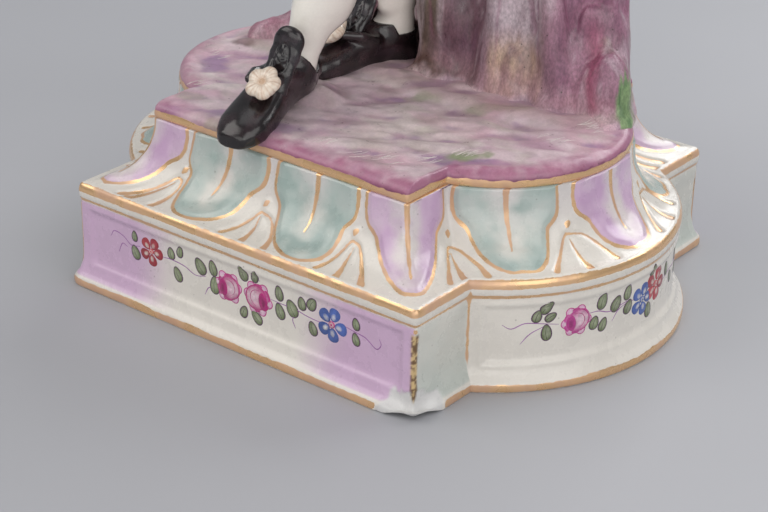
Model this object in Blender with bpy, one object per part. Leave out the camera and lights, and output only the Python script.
"""A porcelain figurine: a gallant standing beside a tree stump on a bow-ended plinth.

Units are metres, +Z up.  The origin is the middle of the plinth's foot and the figure
faces -Y.  Dimensions below are in millimetres and are scaled by MM where they are used.
Pieces that touch keep the gap GAP, and a piece that is nested in another is cut by a
slightly inflated copy of its neighbour.
"""
import math

import bmesh
import bpy
from mathutils import Matrix, Vector

MM = 0.001
GAP = 0.3

# Plinth: a rectangle with a circular bow at each end.
WALL_HALF_X = 60.0
WALL_HALF_Y = 68.7
WALL_BOW_X = 30.2
WALL_BOW_R = 55.3
FOOT_FLARE = 3.1
FOOT_Z = 2.5
WALL_Z = 26.0
FASCIA_Z = 31.5
PLINTH_Z = 50.0
WALL_THICKNESS = 4.5

# Ground slab: the same plan, drawn in.
GROUND_HALF_X = 44.7
GROUND_HALF_Y = 53.3
GROUND_BOW_X = 32.1
GROUND_BOW_R = 38.9
GROUND_EDGE_Z = 52.4
GROUND_TOP_Z = 55.0
BOW_STEPS = 12

# Figure joints.
RIGHT_ANKLE = (-14.5, 14.5, 65.0)
RIGHT_KNEE = (-15.0, 9.0, 109.0)
LEFT_ANKLE = (-12.0, -28.0, 69.0)
LEFT_KNEE = (-4.5, -17.5, 109.0)
PELVIS = (-8.0, 7.0, 158.0)
RIGHT_SHOULDER = (-23.6, 7.0, 212.0)
RIGHT_ELBOW = (-42.0, 3.0, 186.0)
RIGHT_WRIST = (-27.0, -16.0, 197.0)
LEFT_SHOULDER = (7.6, 7.0, 212.0)
LEFT_ELBOW = (21.5, 13.0, 184.0)
LEFT_WRIST = (20.5, 20.0, 160.0)
HEAD = (-8.0, 2.0, 245.5)
KNEE_BAND_Z = 102.0
KNEE_BAND_HEIGHT = 3.2
TRUNK_TOP_Z = 151.0
BODY_SIDES = 20


def new_collection(name):
    group = bpy.data.collections.new(name)
    bpy.context.scene.collection.children.link(group)
    return group


def clear_scene():
    for item in list(bpy.data.objects):
        bpy.data.objects.remove(item, do_unlink=True)


def make_material(name, colour, roughness, metallic=0.0):
    surface = bpy.data.materials.new(name)
    surface.use_nodes = True
    shader = surface.node_tree.nodes["Principled BSDF"]
    shader.inputs["Base Color"].default_value = (*colour, 1.0)
    shader.inputs["Roughness"].default_value = roughness
    shader.inputs["Metallic"].default_value = metallic
    surface.diffuse_color = (*colour, 1.0)
    return surface


clear_scene()
PARTS = new_collection("porcelain_figurine")
CUTTERS = new_collection("cutters")
SOLIDS = {}


# ---------------------------------------------------------------- building helpers

def put_mesh(name, shape, colour=None, roughness=0.12, cutter=False):
    """Link a bmesh as an object with its own material, its faces turned outwards."""
    bmesh.ops.recalc_face_normals(shape, faces=shape.faces)
    mesh = bpy.data.meshes.new(name)
    shape.to_mesh(mesh)
    shape.free()
    piece = bpy.data.objects.new(name, mesh)
    if cutter:
        CUTTERS.objects.link(piece)
        piece.hide_render = True
        piece.display_type = "WIRE"
        return piece
    PARTS.objects.link(piece)
    mesh.materials.append(make_material(name + "_glaze", colour, roughness))
    mesh.shade_smooth()
    mesh.set_sharp_from_angle(angle=math.radians(50))
    return piece


def loft(rings):
    """A closed body through rings of equal point count, with flat ends."""
    shape = bmesh.new()
    rows = [[shape.verts.new(Vector(point) * MM) for point in ring] for ring in rings]
    count = len(rows[0])
    for lower, upper in zip(rows, rows[1:]):
        for i in range(count):
            j = (i + 1) % count
            shape.faces.new((lower[i], lower[j], upper[j], upper[i]))
    shape.faces.new(list(reversed(rows[0])))
    shape.faces.new(rows[-1])
    return shape


def ellipse(centre, across, along, sides):
    """Points of an ellipse about centre, from two half-axis vectors."""
    centre, across, along = Vector(centre), Vector(across), Vector(along)
    turns = [math.tau * i / sides for i in range(sides)]
    return [centre + across * math.cos(turn) + along * math.sin(turn) for turn in turns]


def stack(stations, sides=BODY_SIDES):
    """A standing form: level ellipses, each given as (x, y, z, half_x, half_y)."""
    return loft([ellipse((x, y, z), (half_x, 0, 0), (0, half_y, 0), sides)
                 for x, y, z, half_x, half_y in stations])


def tube(points, sides=12):
    """A limb: a POLY curve with a radius at each point (x, y, z, radius), as a mesh."""
    curve = bpy.data.curves.new("limb_curve", "CURVE")
    curve.dimensions = "3D"
    curve.bevel_depth = MM
    curve.bevel_resolution = max(0, sides // 4 - 1)
    curve.use_fill_caps = True
    spline = curve.splines.new("POLY")
    spline.points.add(len(points) - 1)
    for point, (x, y, z, radius) in zip(spline.points, points):
        point.co = (x * MM, y * MM, z * MM, 1.0)
        point.radius = radius
    guide = bpy.data.objects.new("limb_guide", curve)
    CUTTERS.objects.link(guide)
    mesh = bpy.data.meshes.new_from_object(guide.evaluated_get(bpy.context.evaluated_depsgraph_get()))
    shape = bmesh.new()
    shape.from_mesh(mesh)
    bmesh.ops.remove_doubles(shape, verts=shape.verts, dist=0.00002)
    bpy.data.objects.remove(guide, do_unlink=True)
    bpy.data.meshes.remove(mesh)
    return shape


def ball(centre, half_sizes, across=14, down=9, turn=0.0):
    """An ellipsoid from a UV sphere, turned about X by turn radians."""
    shape = bmesh.new()
    bmesh.ops.create_uvsphere(shape, u_segments=across, v_segments=down, radius=MM)
    place = (Matrix.Translation(Vector(centre) * MM) @ Matrix.Rotation(turn, 4, "X")
             @ Matrix.Diagonal((*half_sizes, 1.0)))
    bmesh.ops.transform(shape, matrix=place, verts=shape.verts)
    return shape


def box(centre, sizes, turn=0.0, axis="X"):
    shape = bmesh.new()
    bmesh.ops.create_cube(shape, size=MM)
    place = (Matrix.Translation(Vector(centre) * MM) @ Matrix.Rotation(turn, 4, axis)
             @ Matrix.Diagonal((*sizes, 1.0)))
    bmesh.ops.transform(shape, matrix=place, verts=shape.verts)
    return shape


def add_boolean(piece, other, operation):
    cut = piece.modifiers.new(operation.lower(), "BOOLEAN")
    cut.object = other
    cut.operation = operation
    cut.solver = "EXACT"


def cut_with(piece, *shapes):
    """Take plain bmesh shapes away from a piece."""
    for shape in shapes:
        cutter = put_mesh("cut_" + piece.name, shape, cutter=True)
        add_boolean(piece, cutter, "DIFFERENCE")


def join_with(piece, *shapes):
    for shape in shapes:
        extra = put_mesh("join_" + piece.name, shape, cutter=True)
        add_boolean(piece, extra, "UNION")


def grown(shape, gap=GAP):
    """Push a plain form out by the gap on every side."""
    bmesh.ops.recalc_face_normals(shape, faces=shape.faces)
    shape.normal_update()
    moves = [v.normal * (min(v.calc_shell_factor(), 1.6) * gap * MM) for v in shape.verts]
    for vertex, move in zip(shape.verts, moves):
        vertex.co += move
    return shape


def build_from(name, recipes, colour, roughness=0.12):
    """Join plain forms into one piece and remember them for its neighbours' cuts."""
    SOLIDS[name] = recipes
    piece = put_mesh(name, recipes[0](), colour, roughness)
    join_with(piece, *[recipe() for recipe in recipes[1:]])
    return piece


def clear_of(piece, *names, gap=GAP):
    """Cut the piece back from its neighbours' plain forms."""
    for name in names:
        cut_with(piece, *[grown(recipe(), gap) for recipe in SOLIDS[name]])


# ------------------------------------------------------------------- the bowed plan

def plan(inset, z, half_x, half_y, bow_x, bow_r):
    """One level outline, anticlockwise, drawn in by inset (negative grows it)."""
    half_x, half_y, bow_r = half_x - inset, half_y - inset, bow_r - inset
    reach = math.sqrt(bow_r ** 2 - (half_x - bow_x) ** 2)
    half_turn = math.atan2(reach, half_x - bow_x)
    turns = [half_turn * (2 * i / BOW_STEPS - 1) for i in range(BOW_STEPS + 1)]
    right = [(bow_x + bow_r * math.cos(turn), bow_r * math.sin(turn)) for turn in turns]
    side = [(half_x, -half_y), *right, (half_x, half_y)]
    outline = side + [(-x, -y) for x, y in side]
    return [(x, y, z) for x, y in outline]


def wall_plan(inset, z):
    return plan(inset, z, WALL_HALF_X, WALL_HALF_Y, WALL_BOW_X, WALL_BOW_R)


def ground_plan(inset, z):
    return plan(inset, z, GROUND_HALF_X, GROUND_HALF_Y, GROUND_BOW_X, GROUND_BOW_R)


def mixed_plan(blend, z):
    """Between the fascia's outline (0) and the ground's outline (1)."""
    low, high = wall_plan(1.0, z), ground_plan(0.0, z)
    return [tuple(a + (b - a) * blend for a, b in zip(p, q)) for p, q in zip(low, high)]


def cove_rings(steps=6):
    """The concave cove from the ledge up to the ground, steep at its top."""
    rings = []
    for i in range(1, steps + 1):
        turn = 0.5 * math.pi * i / steps
        rise = 1 - math.cos(turn)
        rings.append(mixed_plan(math.sin(turn), FASCIA_Z + (PLINTH_Z - FASCIA_Z) * rise))
    return rings


def build_plinth():
    outer = [wall_plan(-FOOT_FLARE, 0), wall_plan(-FOOT_FLARE, FOOT_Z), wall_plan(-1.2, 4.5),
             wall_plan(-0.2, 8.0), wall_plan(0, 12.0), wall_plan(0, WALL_Z),
             wall_plan(-0.4, 27.5), wall_plan(0.1, 30.3), wall_plan(1.0, FASCIA_Z)]
    plinth = put_mesh("plinth", loft(outer + cove_rings()), (0.84, 0.82, 0.78))
    thick = WALL_THICKNESS
    hollow = [wall_plan(thick, -1.0), wall_plan(thick, 27.0), wall_plan(thick + 4, 31.0),
              wall_plan(thick + 12, 37.0), wall_plan(thick + 16, PLINTH_Z - 5.0)]
    cut_with(plinth, loft(hollow))
    return plinth


def build_ground():
    base = PLINTH_Z + GAP
    rings = [ground_plan(0.6, base), ground_plan(0, base + 0.6), ground_plan(0, GROUND_EDGE_Z),
             ground_plan(0.9, 54.2), ground_plan(3.5, GROUND_TOP_Z),
             ground_plan(12.0, GROUND_TOP_Z + 0.3)]
    return build_from("ground", [lambda: loft(rings)], (0.62, 0.47, 0.56), 0.25)


# ------------------------------------------------------------------------- the stump

def bark_ring(x, y, z, half_x, front, back, sides=32):
    """A level section of the stump, shallower in front, with furrows round it."""
    points = []
    for i in range(sides):
        turn = math.tau * i / sides
        furrow = 1 + 0.03 * math.sin(7 * turn + 0.05 * z) + 0.015 * math.sin(12 * turn - 0.04 * z)
        depth = back if math.sin(turn) > 0 else front
        points.append((x + half_x * furrow * math.cos(turn),
                       y + depth * furrow * math.sin(turn), z))
    return points


def trunk_body():
    stations = [(13, 26, 51.0, 48, 15.5, 22), (14, 26, 58, 45.5, 14.5, 21),
                (16, 26.5, 66, 42, 13, 20), (17.5, 27, 78, 39.5, 11.5, 19.5),
                (19, 28, 92, 36, 11, 18.5), (22, 30, 108, 31, 11, 17.5),
                (25, 31, 126, 27, 12, 17), (27, 32, 142, 25.5, 13, 17.5),
                (27.5, 32, TRUNK_TOP_Z - 1.5, 25, 13.2, 17.2), (27.5, 32, TRUNK_TOP_Z, 23.5, 12, 16)]
    return loft([bark_ring(*station) for station in stations])


def trunk_root():
    return tube([(-4, 32, 72, 15), (-20, 27, 65, 14), (-34, 20, 61, 11.5), (-46, 12, 58, 9),
                 (-56, 4, 55.5, 5.5)])


def trunk_branch():
    return tube([(40, 32, 117, 6), (52, 26, 127, 5.2), (57, 23, 133, 4.6)])


def trunk_limit():
    """The stump stays over the ground slab, and stands in a seat sunk in it."""
    return loft([ground_plan(0.6, 53.2), ground_plan(0.6, 60), ground_plan(-2, 90),
                 ground_plan(-6, 160)])


def build_trunk():
    trunk = build_from("tree_trunk", [trunk_body, trunk_root, trunk_branch],
                       (0.45, 0.36, 0.37), 0.3)
    limit = put_mesh("limit_tree_trunk", trunk_limit(), cutter=True)
    add_boolean(trunk, limit, "INTERSECT")
    clear_of(trunk, "right_shoe", "right_stocking")
    return trunk


# -------------------------------------------------------------------- legs and shoes

def leg_stations(ankle, knee, top_z):
    """Level sections up a stockinged leg: heel, ankle, calf and the hollow under the knee."""
    marks = ((-0.22, 4.6, 5.4), (-0.08, 4.5, 5.2), (0.0, 4.5, 5.1), (0.14, 5.2, 5.9),
             (0.34, 7.0, 7.8), (0.55, 8.2, 8.8), (0.72, 7.8, 8.2))
    ankle, knee = Vector(ankle), Vector(knee)
    stations = []
    for along, half_x, half_y in marks:
        x, y, z = ankle.lerp(knee, along)
        stations.append((x, y, z, half_x, half_y))
    x, y, z = ankle.lerp(knee, (top_z - ankle.z) / (knee.z - ankle.z))
    stations.append((x, y, z, 7.4, 7.8))
    return stations


def build_stocking(side, ankle, knee, heel, toe):
    """The leg, with the instep that runs down into the shoe."""
    stations = leg_stations(ankle, knee, KNEE_BAND_Z - GAP)
    along, _, up = shoe_frame(heel, toe)
    instep = [(*(Vector(heel) + along * (place * 38) + up * height), radius)
              for place, height, radius in ((0.24, 9.0, 5.2), (0.40, 8.2, 5.4), (0.55, 5.4, 4.4))]
    build_from(side + "_stocking", [lambda: stack(stations), lambda: tube(instep)],
               (0.86, 0.84, 0.80))


def shoe_frame(heel, toe):
    """Unit vectors along and across a shoe."""
    along = (Vector(toe) - Vector(heel)).normalized()
    across = along.cross(Vector((0, 0, 1))).normalized()
    return along, across, across.cross(along)


def build_shoe(side, heel, toe):
    """Upright sections from heel to toe: (place along, half width, bottom, top)."""
    along, across, up = shoe_frame(heel, toe)
    length = (Vector(toe) - Vector(heel)).length
    sections = ((0.0, 3.2, 1.2, 7.5), (0.03, 5.0, 0.4, 9.2), (0.12, 6.2, 0.0, 10.4),
                (0.28, 6.5, 0.4, 11.4), (0.42, 6.6, 0.9, 11.6), (0.55, 7.0, 0.6, 10.4),
                (0.7, 7.6, 0.0, 8.6), (0.84, 7.2, 0.2, 7.0), (0.95, 5.2, 0.8, 5.4),
                (1.0, 2.2, 1.8, 3.8))
    rings = []
    for place, half_width, bottom, top in sections:
        middle = Vector(heel) + along * (place * length) + up * ((bottom + top) / 2)
        rings.append(ellipse(middle, across * half_width, up * ((top - bottom) / 2), 16))
    shoe = build_from(side + "_shoe", [lambda: loft(rings)], (0.012, 0.011, 0.013), 0.08)
    clear_of(shoe, side + "_stocking")


def build_tongue(side, heel, toe):
    """The high flap of the shoe, standing before the ankle and curling outwards."""
    along, across, up = shoe_frame(heel, toe)
    foot = Vector(heel) + along * 17.5
    marks = ((1.0, 7.0, 4.4, 1.7), (-0.8, 12.5, 4.8, 1.6), (-3.4, 17.5, 5.2, 1.5),
             (-4.8, 21.5, 5.0, 1.5), (-4.4, 24.0, 3.4, 1.3))
    rings = [ellipse(foot + along * ahead + up * height, across * half_width,
                     (along + up * 0.3).normalized() * thickness, 12)
             for ahead, height, half_width, thickness in marks]
    tongue = build_from(side + "_tongue", [lambda: loft(rings)], (0.015, 0.013, 0.015), 0.1)
    clear_of(tongue, side + "_shoe", side + "_stocking")


def build_rosette(side, heel, toe):
    """A turned bow rosette of five lobes on the instep, facing up and forwards."""
    along, across, up = shoe_frame(heel, toe)
    facing = (along * 0.62 + up).normalized()
    middle = Vector(heel) + along * 22.6 + up * 13.0
    ahead = across.cross(facing)
    rings = []
    for depth, radius in ((-2.6, 3.4), (-0.8, 4.7), (0.6, 4.9), (1.8, 3.7), (2.1, 1.3)):
        rings.append([middle + facing * depth
                      + (across * math.cos(turn) + ahead * math.sin(turn))
                      * radius * (1 + 0.07 * math.cos(5 * turn))
                      for turn in [math.tau * i / 20 for i in range(20)]])
    rosette = build_from(side + "_rosette", [lambda: loft(rings)], (0.83, 0.76, 0.68))
    clear_of(rosette, side + "_shoe", side + "_tongue")


def build_knee_band(side, ankle, knee):
    low = Vector(ankle).lerp(Vector(knee), (KNEE_BAND_Z - ankle[2]) / (knee[2] - ankle[2]))
    top = KNEE_BAND_Z + KNEE_BAND_HEIGHT
    stations = [(low.x, low.y, KNEE_BAND_Z, 7.9, 8.3), (low.x, low.y, KNEE_BAND_Z + 0.6, 8.4, 8.8),
                (low.x, low.y, top - 0.6, 8.5, 8.9), (low.x, low.y, top, 8.0, 8.4)]
    outward = 1 if side == "left" else -1

    def buckle():
        return box((low.x + outward * 6.6, low.y - 5.2, top - 1.6), (3.4, 3.0, 2.4),
                   math.radians(outward * 50), "Z")

    build_from(side + "_knee_band", [lambda: stack(stations), buckle], (0.75, 0.55, 0.28))
    return low


def build_breeches(left_low, right_low):
    """Two full legs and the seat, joined into one body."""
    start = KNEE_BAND_Z + KNEE_BAND_HEIGHT + GAP
    px, py, pz = PELVIS

    def thigh(low, knee, hip_x):
        return stack([(low.x, low.y, start, 7.8, 8.2), (low.x, low.y, start + 1.5, 8.8, 9.2),
                      (knee[0], knee[1], start + 6, 9.3, 9.8),
                      (knee[0] * 0.6 + hip_x * 0.4, knee[1] * 0.6 + py * 0.4, 128, 10.0, 10.8),
                      (knee[0] * 0.25 + hip_x * 0.75, knee[1] * 0.25 + py * 0.75, 145, 10.6, 11.6),
                      (hip_x, py, 155, 9.0, 10.0)])

    def seat():
        return stack([(px, py, 143, 14, 10.5), (px, py, 150, 18.5, 12.2),
                      (px, py, pz + 2, 18, 12.2), (px, py, pz + 12, 15.4, 10.6),
                      (px, py, pz + 16, 14.2, 9.8)])

    build_from("breeches", [seat, lambda: thigh(right_low, RIGHT_KNEE, px - 8.5),
                            lambda: thigh(left_low, LEFT_KNEE, px + 8.5)], (0.80, 0.66, 0.60))


# -------------------------------------------------------------------------- the body

def waistcoat_stations():
    px, py, _ = PELVIS
    marks = [(141, 21.5, 17.5, -2.5), (150, 20.8, 15.6, -1.9), (162, 17.8, 13.0, -0.8),
             (176, 14.2, 10.6, -0.4), (190, 15.8, 11.4, -0.4), (203, 17.0, 11.8, -0.2),
             (213, 16.2, 10.6, 0), (220, 10.5, 8.4, 0)]
    return [(px, py + ahead, z, half_x, half_y) for z, half_x, half_y, ahead in marks]


def coat_stations(inset):
    px, py, _ = PELVIS
    marks = [(122, 29, 19.5, 2.5), (130, 27.5, 18.6, 2.0), (144, 25.4, 17.8, 1.0),
             (160, 21.2, 15.8, 0.3), (176, 16.8, 12.9, 0), (190, 18.4, 13.8, 0),
             (203, 19.8, 14.0, 0), (213, 19.0, 12.8, 0), (219, 14.5, 10.6, 0),
             (222, 9.5, 8.6, 0)]
    return [(px, py + back, z, half_x - inset, half_y - inset)
            for z, half_x, half_y, back in marks]


def front_of(stations, x, z):
    """The y of a stacked form's front at a height z, for a place x across."""
    for low, high in zip(stations, stations[1:]):
        if low[2] <= z <= high[2]:
            part = (z - low[2]) / (high[2] - low[2])
            cx, cy, _, half_x, half_y = [a + (b - a) * part for a, b in zip(low, high)]
            return cy - half_y * math.sqrt(max(0.0, 1 - ((x - cx) / half_x) ** 2))
    raise ValueError("the height is outside the form")


def build_waistcoat():
    waistcoat = build_from("waistcoat", [lambda: stack(waistcoat_stations())],
                           (0.85, 0.80, 0.72))
    px, py, _ = PELVIS
    cut_with(waistcoat, stack([(px, py - 1, 139, 13, 10), (px, py - 1, 146, 13, 10)]))
    clear_of(waistcoat, "breeches")


def coat_opening():
    """What the open front and the swept-back skirts leave out."""
    px, py, _ = PELVIS
    levels = [(116, 36, 9), (132, 30, 7), (150, 22.5, 2), (164, 12, 0), (178, 6.5, -1),
              (200, 7.0, -1), (226, 7.5, -1)]
    return loft([[(px - half, py - 40, z), (px + half, py - 40, z), (px + half, py + back, z),
                  (px - half, py + back, z)] for z, half, back in levels])


def build_coat():
    """An open coat: a shell with its front cut away and its skirts hollow."""
    coat = build_from("coat", [lambda: stack(coat_stations(0.0))], (0.66, 0.56, 0.68))
    hollow = coat_stations(2.2)[:4]
    x, y, z, half_x, half_y = hollow[0]
    hollow.insert(0, (x, y, z - 3, half_x, half_y))
    cut_with(coat, stack(hollow), coat_opening())
    clear_of(coat, "waistcoat", "tree_trunk")


def build_sleeve(side, shoulder, elbow, wrist):
    shoulder, elbow, wrist = Vector(shoulder), Vector(elbow), Vector(wrist)
    end = elbow.lerp(wrist, 0.55)
    path = [(*shoulder, 8.2), (*shoulder.lerp(elbow, 0.35), 7.2), (*shoulder.lerp(elbow, 0.8), 6.4),
            (*elbow.lerp(wrist, 0.08), 6.3), (*elbow.lerp(wrist, 0.3), 6.0), (*end, 5.6)]
    sleeve = build_from(side + "_sleeve", [lambda: tube(path),
                                           lambda: ball(shoulder, (8.4, 8.4, 8.0), 14, 9)],
                        (0.66, 0.56, 0.68))
    clear_of(sleeve, "coat")


def limb_step(elbow, wrist, start, finish):
    """Two points along the forearm, measured in millimetres past the sleeve's end."""
    elbow, wrist = Vector(elbow), Vector(wrist)
    along = (wrist - elbow).normalized()
    base = elbow.lerp(wrist, 0.55)
    return base + along * start, base + along * finish, along


def build_cuff(side, elbow, wrist):
    start, finish, along = limb_step(elbow, wrist, GAP, 8.0)
    path = [(*start, 7.0), (*(start + along), 7.9), (*(finish - along), 8.3), (*finish, 7.4)]
    build_from(side + "_cuff", [lambda: tube(path, 16)], (0.80, 0.66, 0.60))


def build_frill(side, elbow, wrist):
    start, finish, along = limb_step(elbow, wrist, 8.0 + GAP, 12.0)
    path = [(*start, 4.6), (*(start + along * 1.2), 6.0), (*finish, 6.4)]
    build_from(side + "_frill", [lambda: tube(path, 16)], (0.88, 0.86, 0.83))


def build_hand(side, elbow, wrist, fingers):
    """A palm and four fingers as one mitten, plus the thumb."""
    start, _, along = limb_step(elbow, wrist, 12.0 + GAP, 13.0)
    palm, tips, thumb = fingers
    hand = build_from(side + "_hand", [lambda: tube([(*start, 3.0), (*palm, 3.7), (*tips, 2.2)]),
                                       lambda: tube([(*palm, 1.6), (*thumb, 1.3)], 8)],
                      (0.86, 0.74, 0.68))
    clear_of(hand, side + "_frill")


# ---------------------------------------------------------------- neck, head and hat

def build_head():
    x, y, z = HEAD
    build_from("head", [
        lambda: ball((x, y + 0.8, z + 0.6), (9.4, 11.6, 13.2), 20, 14),
        lambda: stack([(x, y + 4.2, 222.6, 6.6, 6.4), (x, y + 3.6, 228, 5.6, 5.6),
                       (x, y + 2.4, 238, 5.6, 5.8)], 16),
        lambda: ball((x, y - 2.2, z - 6.0), (6.6, 8.6, 7.6), 16, 10),
        lambda: ball((x, y - 11.2, z - 2.0), (1.3, 2.4, 3.0), 8, 6, math.radians(-18)),
    ], (0.87, 0.76, 0.70))


def build_cravat():
    x, y, _ = HEAD
    marks = ((-6.0, 224, 4.2, 3.4), (-7.6, 217, 5.2, 3.6), (-8.6, 208, 6.0, 3.4),
             (-9.4, 200, 4.4, 2.4))
    cravat = build_from("cravat", [
        lambda: stack([(x, y + 3.6, 221.4, 8.6, 8.2), (x, y + 3.4, 224, 8.6, 8.4),
                       (x, y + 3.0, 228, 7.4, 7.4), (x, y + 2.9, 230, 6.6, 6.6)]),
        lambda: stack([(x, y + ahead, z, half_x, half_y) for ahead, z, half_x, half_y
                       in reversed(marks)], 14),
    ], (0.89, 0.88, 0.85))
    clear_of(cravat, "head", "waistcoat", "coat")


def build_hair():
    """A dressed wig: a cap of hair, a roll over each ear and a tied queue."""
    x, y, z = HEAD

    def roll(side):
        return tube([(x + side * 10.0, y - 3.5, z - 2.0, 2.6), (x + side * 10.6, y + 1, z - 1.6, 3.2),
                     (x + side * 10.0, y + 6, z - 1.2, 2.8)])

    hair = put_mesh("hair", ball((x, y + 2.8, z + 2.6), (11.0, 12.4, 13.6), 20, 12),
                    (0.80, 0.77, 0.73))
    queue = [(x, y + 12.5, z - 4, 3.6), (x, y + 16.2, z - 11, 2.9), (x, y + 19.0, z - 19, 2.6),
             (x, y + 20.0, z - 28, 1.8)]
    cut_with(hair, box((x, y - 13.0, z - 1.8), (26, 20, 19)))
    join_with(hair, roll(-1), roll(1), tube(queue))
    clear_of(hair, "head", "cravat")
    SOLIDS["hair"] = [lambda: ball((x, y + 2.8, z + 2.6), (11.0, 12.4, 13.6), 20, 12),
                      lambda: tube(queue)]


def build_hair_ribbon():
    x, y, z = HEAD

    def loop(side):
        return tube([(x + side * 1.0, y + 18.6, z - 9.5, 1.6), (x + side * 6.5, y + 20, z - 7.5, 2.6),
                     (x + side * 10.5, y + 19, z - 10.0, 1.4)])

    ribbon = build_from("hair_ribbon", [
        lambda: ball((x, y + 18.0, z - 9.5), (2.8, 3.4, 2.4), 12, 8),
        lambda: loop(-1), lambda: loop(1)], (0.05, 0.04, 0.06))
    clear_of(ribbon, "hair")


def build_hat():
    """A three-cornered hat: a low crown in a brim that turns up on three sides."""
    x, y, z = HEAD
    base = Vector((x, y + 2.4, z + 9.5))
    rings = []
    for reach, lift, curl in ((12.4, -1.0, 0.0), (15.4, 0.0, 0.25), (20.0, 2.2, 0.75),
                              (21.2, 5.4, 1.0), (19.8, 6.0, 1.0), (15.0, 2.6, 0.4),
                              (11.4, 3.4, 0.0), (9.6, 8.2, 0.0), (4.5, 10.4, 0.0)):
        ring = []
        for i in range(24):
            turn = math.tau * i / 24 - math.pi / 2
            corner = math.cos(3 * (turn + math.pi / 2))
            radius = reach * (1 + 0.13 * curl * corner)
            rise = lift - 2.2 * curl * corner
            ring.append(base + Vector((radius * math.cos(turn), radius * math.sin(turn), rise)))
        rings.append(ring)
    hat = build_from("hat", [lambda: loft(rings)], (0.03, 0.028, 0.032), 0.1)
    clear_of(hat, "hair", "head")


# ------------------------------------------------------------- basket, flowers, trim

def build_basket():
    x, y, base = BASKET
    basket = build_from("basket", [lambda: stack([
        (x, y, base, 8.0, 7.0), (x, y, base + 1.4, 8.8, 7.8), (x, y, base + 9, 11.0, 9.8),
        (x, y, base + 11, 12.0, 10.6)])], (0.80, 0.66, 0.42))
    cut_with(basket, stack([(x, y, base + 8.2, 9.2, 8.0), (x, y, base + 13, 10.6, 9.2)]))


def build_flowers():
    x, y, base = BASKET
    z = base + 11
    turns = [math.tau * i / 5 + 0.4 for i in range(5)]
    blooms = [lambda turn=turn: ball((x + 6.0 * math.cos(turn), y + 5.2 * math.sin(turn), z + 4.2),
                                     (4.2, 4.2, 3.8), 12, 8) for turn in turns]
    flowers = build_from("flowers", [lambda: ball((x, y, z + 0.5), (9.6, 8.4, 5.6), 16, 8),
                                     *blooms, lambda: ball((x, y, z + 7.2), (4.4, 4.4, 4.0), 12, 8)],
                         (0.80, 0.42, 0.55))
    clear_of(flowers, "basket")


def build_held_rose():
    x, y, z = RIGHT_PALM
    rose = build_from("held_rose", [
        lambda: ball((x + 1.5, y - 2.0, z + 10.0), (4.0, 4.0, 3.8), 14, 9),
        lambda: tube([(x + 1.2, y - 1.6, z + 8.0, 1.0), (x + 0.6, y - 0.6, z + 1.0, 0.9)], 8),
    ], (0.80, 0.42, 0.55))
    clear_of(rose, "right_hand")


def build_button(name, place, radius):
    """A domed button just clear of the cloth behind it."""
    x, y, z = place
    button = ball((x, y - GAP - 0.6 * radius, z), (radius, 0.6 * radius, radius), 8, 5)
    put_mesh(name, button, (0.83, 0.62, 0.30), 0.2)


def build_button_rows():
    px = PELVIS[0]
    for i, z in enumerate((150, 160, 170, 180, 190), start=1):
        build_button(f"waistcoat_button_{i}", (px, front_of(waistcoat_stations(), px, z), z), 1.2)
    for i, z in enumerate((172, 181, 190, 199), start=1):
        x = px + 9.0 + max(0, 178 - z) * 0.3
        build_button(f"coat_button_{i}", (x, front_of(coat_stations(0.0), x, z), z), 1.3)


# --------------------------------------------------------------------------- assembly

LEFT_HEEL, LEFT_TOE = (-14.4, -21.5, 57.2), (-9.8, -60.2, 51.6)
RIGHT_HEEL, RIGHT_TOE = (-13.6, 22.0, 53.8), (-25.0, -12.0, 53.8)
RIGHT_PALM = (-21.5, -21.5, 201.0)
LEFT_PALM = (20.0, 23.5, 155.2)
BASKET = (34.0, 34.0, TRUNK_TOP_Z + GAP)
LEGS = {"left": (LEFT_ANKLE, LEFT_KNEE, LEFT_HEEL, LEFT_TOE),
        "right": (RIGHT_ANKLE, RIGHT_KNEE, RIGHT_HEEL, RIGHT_TOE)}
ARMS = {"left": (LEFT_SHOULDER, LEFT_ELBOW, LEFT_WRIST),
        "right": (RIGHT_SHOULDER, RIGHT_ELBOW, RIGHT_WRIST)}
HAND_SHAPES = {"left": (LEFT_PALM, (18.5, 30.0, 153.6), (16.2, 22.5, 153.4)),
               "right": (RIGHT_PALM, (-16.5, -24.0, 203.0), (-18.0, -20.0, 205.0))}

build_plinth()
knees = {}
for side, (ankle, knee, heel, toe) in LEGS.items():
    build_stocking(side, ankle, knee, heel, toe)
    build_shoe(side, heel, toe)
    build_tongue(side, heel, toe)
    build_rosette(side, heel, toe)
    knees[side] = build_knee_band(side, ankle, knee)
build_trunk()
ground = build_ground()
clear_of(ground, "tree_trunk", "left_shoe", "right_shoe")

build_breeches(knees["left"], knees["right"])
build_waistcoat()
build_coat()
for side, (shoulder, elbow, wrist) in ARMS.items():
    build_sleeve(side, shoulder, elbow, wrist)
    build_cuff(side, elbow, wrist)
    build_frill(side, elbow, wrist)
    build_hand(side, elbow, wrist, HAND_SHAPES[side])
clear_of(bpy.data.objects["left_hand"], "tree_trunk")

build_head()
build_cravat()
build_hair()
build_hair_ribbon()
build_hat()
build_basket()
build_flowers()
build_held_rose()
build_button_rows()
